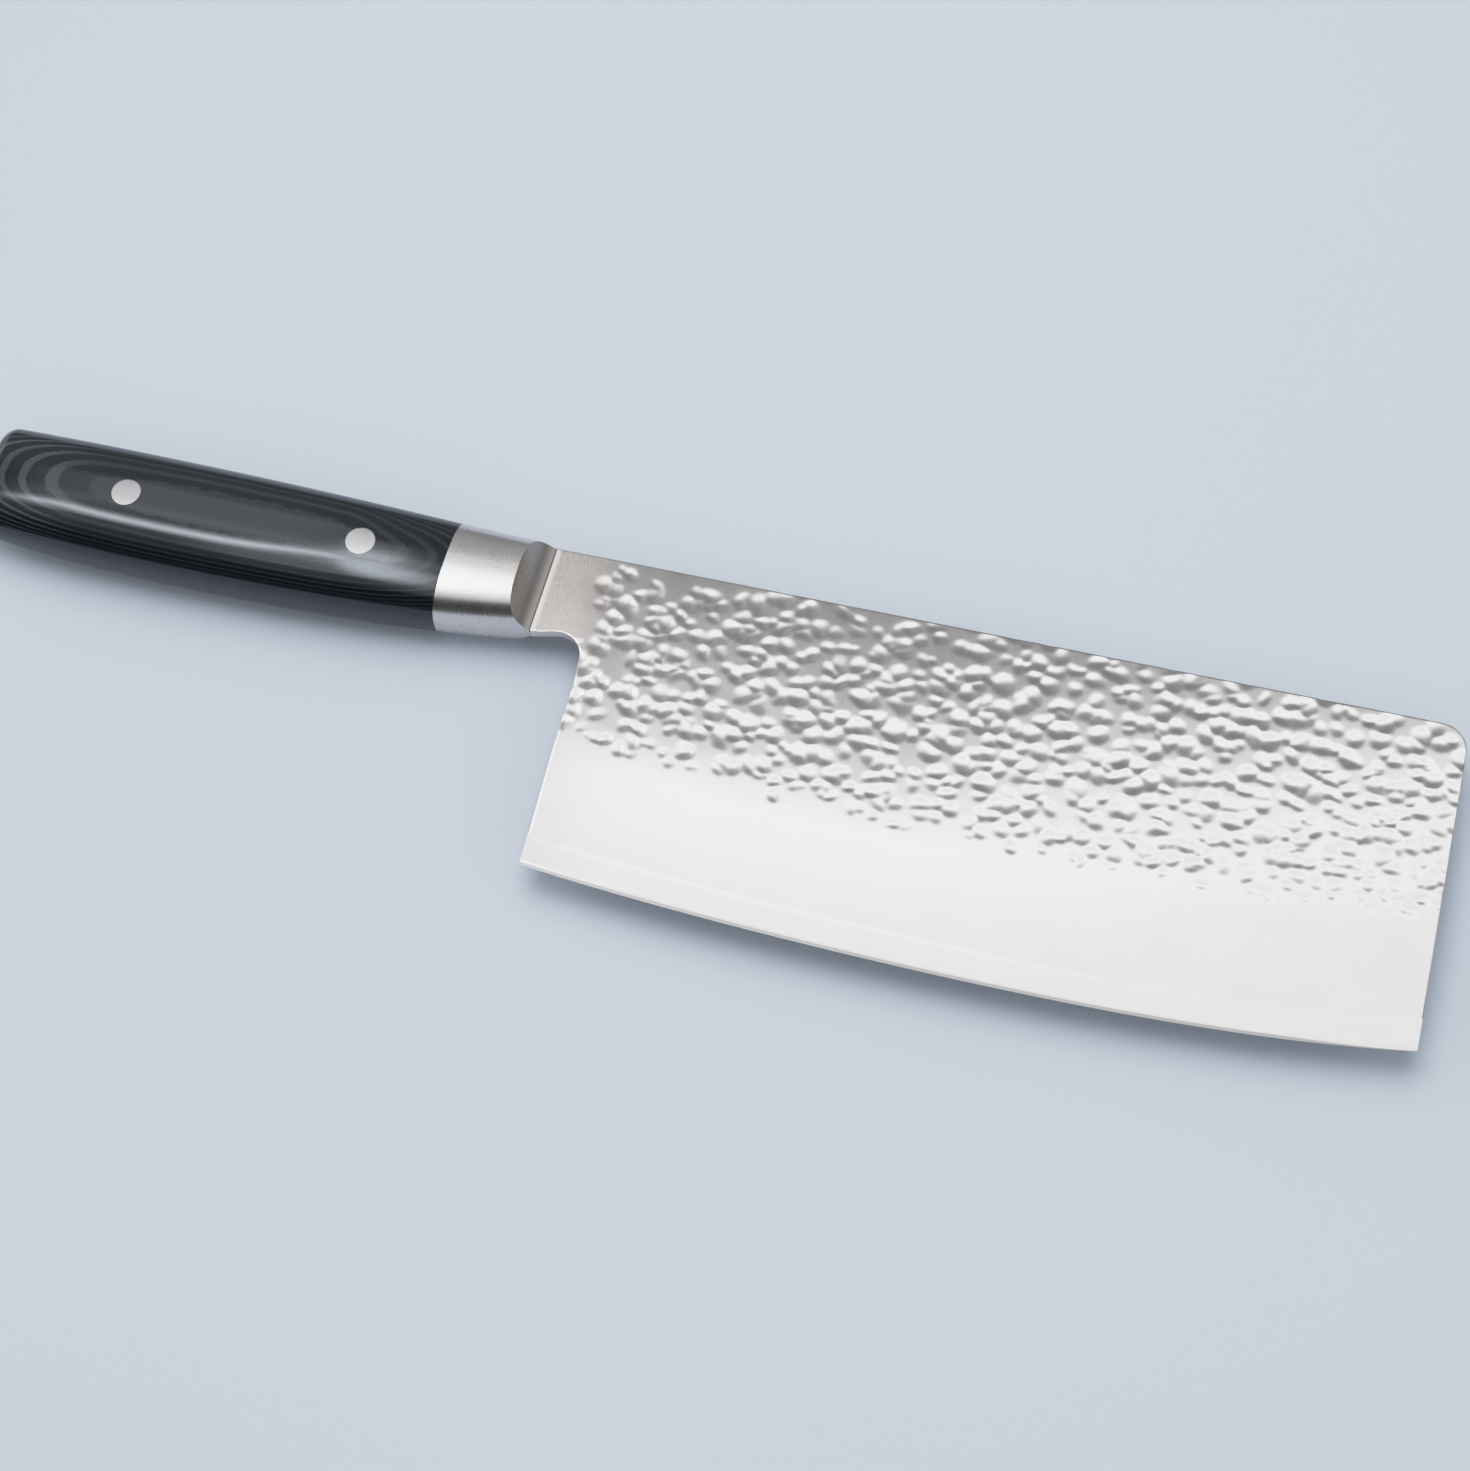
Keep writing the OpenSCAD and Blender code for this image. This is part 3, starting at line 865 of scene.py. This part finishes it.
def laminate():
    """Resin-bonded black canvas: layers parallel to the blade, so the outer
    surface shows them as contour lines, with the cloth's small steps."""
    mat, n, bsdf = material("black_laminate")
    p = n.position()
    sep = n.new("ShaderNodeSeparateXYZ")
    n.put(sep.inputs[0], p)
    x, y, z = sep.outputs
    flat = n.scaled(p, (1, 1, 0.12))
    slow = n.noise(flat, 0.07, 2.0, 0.5)
    small = n.noise(flat, 0.9, 2.0, 0.6)
    weave = n.math("MULTIPLY", n.math("SINE", n.math("MULTIPLY", x, 5.2)),
                   n.math("SINE", n.math("MULTIPLY", y, 5.6)))
    size = n.math("ABSOLUTE", z)
    bent = n.math("ADD", size, n.math("MULTIPLY", n.math("SUBTRACT", slow, 0.5), 0.18))
    # the layers bend down to the bolster, and lean there
    near_front = n.math("MAXIMUM", n.math("ADD", x, 55.0), 0.0)
    bent = n.math("SUBTRACT", bent, n.math("MULTIPLY", n.math("MULTIPLY", near_front, near_front), 0.0024))
    lean = n.math("MULTIPLY", n.span(x, -58, -42), 0.12)
    upper = n.math("MAXIMUM", n.math("ADD", y, -61.0), 0.0)
    bent = n.math("SUBTRACT", bent, n.math("MULTIPLY", lean, upper))
    bent = n.math("ADD", bent, n.math("MULTIPLY", n.math("SUBTRACT", small, 0.5), 0.08))
    bent = n.math("ADD", bent, n.math("MULTIPLY", weave, 0.018))
    turns = n.math("MULTIPLY", n.math("ADD", bent, -8.25), 1 / 0.63)
    wave = n.math("COSINE", n.math("MULTIPLY", turns, 2 * math.pi))
    line = n.span(wave, 0.18, 0.78)
    # the outermost layer of cloth is cut along its face, thread by thread
    thread = n.new("ShaderNodeTexWhiteNoise", noise_dimensions="1D")
    n.put(thread.inputs["W"], n.math("FLOOR", n.math("MULTIPLY_ADD", small, 1.6, n.math("MULTIPLY", x, 0.42))))
    torn = n.math("MULTIPLY_ADD", thread.outputs["Value"], 0.11, bent)
    line = n.math("MAXIMUM", line, n.span(torn, 8.70, 8.74))
    # each layer takes the dye a little differently
    step = n.new("ShaderNodeCombineXYZ")
    n.put(step.inputs[2], n.math("ROUND", turns))
    each = n.noise(n.scaled(step.outputs[0], (1, 1, 3.7)), 1.0, 0.0)
    line = n.math("MULTIPLY", line, n.span(each, 0.3, 0.7, 0.62, 1.0))
    threads = n.noise(n.scaled(p, (3.2, 0.5, 0.5)), 1.0, 2.0, 0.7)
    line = n.math("MULTIPLY", line, n.span(threads, 0.3, 0.7, 0.80, 1.10))
    line = n.math("MULTIPLY", line, n.span(size, 3.6, 7.4, 0.40, 1.0))
    # threads cut end-on at the butt show paler
    ends = n.math("MULTIPLY", n.span(x, -112, -128), n.span(bent, 8.62, 8.56))
    pale = n.mix(ends, (0.028, 0.033, 0.040, 1), (0.080, 0.093, 0.110, 1))
    n.put(bsdf.inputs["Base Color"], n.mix(line, (0.0038, 0.0055, 0.0082, 1), pale))
    n.put(bsdf.inputs["Roughness"], n.math("ADD", n.span(small, 0.3, 0.7, 0.08, 0.11),
                                           n.math("MULTIPLY", n.span(x, -50, -38), 0.05)))
    bsdf.inputs["IOR"].default_value = 1.5
    bsdf.inputs["Specular IOR Level"].default_value = 0.68
    bsdf.inputs["Specular Tint"].default_value = (0.88, 0.95, 1.0, 1)
    scratch = n.noise(n.scaled(p, (0.35, 3.0, 3.0)), 1.0, 3.0, 0.6)
    n.put(bsdf.inputs["Normal"], n.bump(n.math("ADD", scratch, n.math("MULTIPLY", line, 0.3)), 0.0013))
    return mat


def floor_material():
    mat, n, bsdf = material("pale_board")
    coord = n.new("ShaderNodeTexCoord")
    grain = n.noise(n.scaled(coord.outputs["Object"], (1000, 1000, 1000)), 0.7, 4.0, 0.6)
    slow = n.noise(coord.outputs["Object"], 6.0, 2.0, 0.5)
    share = n.math("ADD", n.math("MULTIPLY", grain, 0.35), n.math("MULTIPLY", slow, 0.65))
    n.put(bsdf.inputs["Base Color"], n.mix(share, (0.640, 0.714, 0.824, 1), (0.690, 0.764, 0.874, 1)))
    bsdf.inputs["Roughness"].default_value = 0.75
    bsdf.inputs["Specular IOR Level"].default_value = 0.2
    return mat


# ------------------------------------------------------------------- studio
def profile(n, value, lo, hi, stops):
    """Brightness by a list of (value, level), kept as roots in the ramp."""
    ramp = n.new("ShaderNodeValToRGB")
    ramp.color_ramp.interpolation = "LINEAR"
    e = ramp.color_ramp.elements
    while len(e) < len(stops):
        e.new(0.5)
    for el, (at, level) in zip(e, stops):
        v = math.sqrt(level / 10)
        el.position = (at - lo) / (hi - lo)
        el.color = (v, v, v, 1)
    n.put(ramp.inputs[0], n.span(value, lo, hi, 0, 1, "LINEAR"))
    sep = n.new("ShaderNodeSeparateColor")
    n.put(sep.inputs[0], ramp.outputs[0])
    return n.math("MULTIPLY", n.math("MULTIPLY", sep.outputs[0], sep.outputs[0]), 10.0)


def room():
    """Grey room around the table: brightness by direction."""
    world = bpy.data.worlds.new("studio")
    bpy.context.scene.world = world
    world.use_nodes = True
    n = Nodes(world.node_tree)
    coord = n.new("ShaderNodeTexCoord")
    sep = n.new("ShaderNodeSeparateXYZ")
    n.put(sep.inputs[0], coord.outputs["Generated"])
    x, y, z = sep.outputs
    pitch = n.math("MULTIPLY", n.math("ARCTAN2", y, z), 180 / math.pi)
    base = profile(n, pitch, -180, 180, [
        (-180, 0.5), (-96, 0.5), (-90, 0.10), (-66, 0.05), (-45, 0.05), (-36, 0.14), (-24, 0.30),
        (-12, 0.40), (0, 0.42), (24, 0.42), (31, 0.37), (38, 0.33), (62, 0.31), (90, 0.26),
        (96, 0.5), (180, 0.5)])
    left = profile(n, pitch, -180, 180, [(-180, 0.0), (28, 0.0), (38, 0.24), (56, 0.24),
                                         (72, 0.12), (86, 0.02), (92, 0.0), (180, 0.0)])
    total = n.math("ADD", base, n.math("MULTIPLY", left, n.span(x, -0.20, -0.31)))
    total = n.math("MULTIPLY", total, n.span(x, 0.45, 0.85, 1.0, 0.55))
    glow = n.math("ADD", n.span(z, 0.16, 0.32, 0.0, 1.0), n.span(z, -0.02, 0.02, 0.0, 0.14))
    total = n.math("ADD", total, n.math("MULTIPLY", glow, n.span(x, 0.70, 0.80)))
    wall = n.math("MULTIPLY", n.span(x, -0.62, -0.80), n.span(z, -0.02, 0.02))
    total = n.math("ADD", total, n.math("MULTIPLY", wall, 0.9))
    bg = world.node_tree.nodes["Background"]
    bg.inputs["Color"].default_value = (0.985, 0.995, 1.02, 1)
    n.put(bg.inputs["Strength"], total)


def lamp(name, x0, x1, y0, y1, height):
    """Flat light over a stretch of the table, facing down. An energy of pi
    times its area makes its strength a plain radiance."""
    data = bpy.data.lights.new(name, "AREA")
    data.shape = "RECTANGLE"
    data.size, data.size_y = (x1 - x0) / 1000, (y1 - y0) / 1000
    data.energy = math.pi * data.size * data.size_y
    data.color = (0.985, 0.995, 1.02)
    data.use_nodes = True
    obj = bpy.data.objects.new(name, data)
    obj.location = row((x0 + x1) / 2, (y0 + y1) / 2, height)
    obj.visible_camera = False
    bpy.context.scene.collection.objects.link(obj)
    return obj, data, Nodes(data.node_tree)


def panel():
    """Near panel that the steel mirrors: its far edge is soft and slants
    away towards the tip, and it is hottest above the handle's axis."""
    x0, x1, y0, y1 = -435.0, 345.0, -255.0, 350.0
    obj, data, n = lamp("panel", x0, x1, y0, y1, 336.0)
    sep = n.new("ShaderNodeSeparateXYZ")
    n.put(sep.inputs[0], n.new("ShaderNodeNewGeometry").outputs["Parametric"])
    x = n.span(sep.outputs[0], 0, 1, x0, x1, "LINEAR")
    y = n.span(sep.outputs[1], 0, 1, y0, y1, "LINEAR")
    slant = n.math("MULTIPLY", n.math("MAXIMUM", n.math("ADD", x, -10.0), 0.0), 0.3)
    slant = n.math("MULTIPLY", slant, n.span(y, 125, 180, 0, 1))
    level = profile(n, n.math("SUBTRACT", y, slant), y0, y1, [
        (-250, 0.0), (-185, 0.75), (-110, 0.95), (-70, 1.1), (40, 1.45), (87, 1.5), (103, 1.4),
        (120, 1.3), (135, 1.45), (143, 1.95), (150, 2.8), (165, 3.0), (176, 2.6), (187, 1.55),
        (199, 0.65), (212, 0.18), (228, 0.0)])
    near = n.math("MAXIMUM", n.span(y, -75, -45), n.span(x, -132, -110, 0.3, 1.0))
    level = n.math("MULTIPLY", level, near)
    mid = n.math("MAXIMUM", n.span(y, 25, 45), n.span(x, -228, -192, 0.25, 1.0))
    level = n.math("MULTIPLY", level, mid)
    back = n.math("MAXIMUM", n.span(y, 120, 95), n.span(x, -94, -78, 0.28, 1.0))
    level = n.math("MULTIPLY", level, back)
    wing = profile(n, y, y0, y1, [(150, 0.0), (185, 0.7), (290, 0.7), (335, 0.0)])
    level = n.math("ADD", level, n.math("MULTIPLY", wing, n.span(x, -150, -190)))
    # the hot core is narrow above the handle and opens towards the bolster
    along_x = n.math("MULTIPLY_ADD", y, 0.075, n.math("ADD", x, -0.75))
    narrow = n.span(along_x, -145, -149)
    wide = n.math("SUBTRACT", 1.0, narrow)
    centre = n.math("ADD", n.span(x, -205, -155, 76, 123), n.span(x, -240, -320, 0, 26))
    thin = profile(n, n.math("SUBTRACT", y, centre), -360, 300, [
        (-60, 0.0), (-42, 1.2), (-24, 3.9), (-8, 8.4), (6, 8.2), (24, 3.4), (45, 0.9), (66, 0.0)])
    thin = n.math("MULTIPLY", thin, n.span(x, -225, -190, 0.8, 1.0))
    low = profile(n, y, y0, y1, [(-100, 0.0), (-60, 0.6), (-10, 4.0), (20, 6.2), (53, 6.6),
                                 (80, 6.4), (100, 2.4), (116, 0.0)])
    edge = profile(n, y, y0, y1, [(80, 0.0), (100, 4.6), (116, 7.2), (130, 5.2), (150, 0.0)])
    high = profile(n, y, y0, y1, [(120, 0.0), (148, 7.0), (180, 6.2), (210, 3.8), (236, 1.6),
                                  (260, 0.0)])
    broad = n.math("ADD", n.math("MULTIPLY", low, n.span(along_x, -95, -122)),
                   n.math("ADD", n.math("MULTIPLY", edge, n.span(along_x, -108, -124)),
                          n.math("MULTIPLY", high, n.span(along_x, -118, -125))))
    level = n.math("ADD", level, n.math("MULTIPLY", thin, narrow))
    level = n.math("ADD", level, n.math("MULTIPLY", broad, wide))
    level = n.math("MULTIPLY", level, n.span(x, -430, -300))
    level = n.math("MULTIPLY", level, n.span(x, 342, 275))
    n.put(data.node_tree.nodes["Emission"].inputs["Strength"], level)
    obj.visible_diffuse = False


def key():
    """Broad light for the table and the soft shadows, and a far one from
    the near side that keeps the shadows open."""
    y0, y1 = -230.0, 960.0
    obj, data, n = lamp("key", -350.0, 330.0, y0, y1, 900.0)
    sep = n.new("ShaderNodeSeparateXYZ")
    n.put(sep.inputs[0], n.new("ShaderNodeNewGeometry").outputs["Parametric"])
    level = profile(n, n.span(sep.outputs[1], 0, 1, y0, y1, "LINEAR"), y0, y1, [
        (-220, 0.0), (-150, 1.9), (-60, 2.4), (60, 3.05), (200, 3.05), (350, 2.6), (520, 2.2),
        (700, 1.5), (850, 0.9), (955, 0.0)])
    n.put(data.node_tree.nodes["Emission"].inputs["Strength"], level)
    obj.visible_glossy = False
    obj, data, n = lamp("fill", -2000.0, 2000.0, -3500.0, -900.0, 1400.0)
    data.node_tree.nodes["Emission"].inputs["Strength"].default_value = 0.62
    obj.visible_glossy = False


def tone():
    """Photographic shoulder: straight up to 0.45, then closing on 0.925."""
    view = bpy.context.scene.view_settings
    view.view_transform = "Standard"
    view.look = "None"
    view.exposure, view.gamma = 0.0, 1.0
    view.use_curve_mapping = True
    cm = view.curve_mapping
    cm.extend = "HORIZONTAL"
    top, knee, room_left = 5.0, 0.45, 0.475
    cm.white_level = (top, top, top)
    curve = cm.curves[3]

    def shoulder(v):
        return knee + room_left * (1 - math.exp(-(v - knee) / room_left))

    curve.points[1].location = (1.0, shoulder(top))
    curve.points.new(knee / top, knee)
    for v in (0.55, 0.65, 0.75, 0.87, 1.0, 1.15, 1.35, 1.6, 2.0, 2.6, 3.5):
        curve.points.new(v / top, shoulder(v))
    for point in curve.points:
        point.handle_type = "VECTOR"
    cm.update()


# --------------------------------------------------------------------- build
make_camera()
clad_steel = hammered((0.600, 0.582, 0.568, 1))
core_steel = whetted((0.610, 0.594, 0.580, 1), 0.17)
bolster_steel = bolster((0.630, 0.608, 0.590, 1))
rivet_steel = steel("rivet_satin_steel", (0.430, 0.424, 0.430, 1), 0.34, (2, 6, 6), 0.0004)[0]
black = laminate()

net = cladding_net()
points, faces, blade_n, near, outline = net
for name, node, seed, mirror in (("hammered_cladding_top", "cladding_top", 41, False),
                                 ("hammered_cladding_bottom", "cladding_bottom", 97, True)):
    z = cladding_heights(points, blade_n, near, outline, seed)
    v, f = solid(points, faces, z, HALF_CORE, False)
    build(name, v, f, clad_steel, [node], mirror)

points, faces, z = core_net()
v, f = solid(points, faces, z, -z, True)
build("ground_core", v, f, core_steel, ["blade_core"], angle=5)

make_scales(black)
make_bolsters(bolster_steel)
make_rivets(rivet_steel)

mesh = bpy.data.meshes.new("floor")
mesh.from_pydata([(-3, -3, 0), (3, -3, 0), (3, 3, 0), (-3, 3, 0)], [], [(0, 1, 2, 3)])
floor = bpy.data.objects.new("floor", mesh)
bpy.context.scene.collection.objects.link(floor)
mesh.materials.append(floor_material())
room()
panel()
key()
tone()
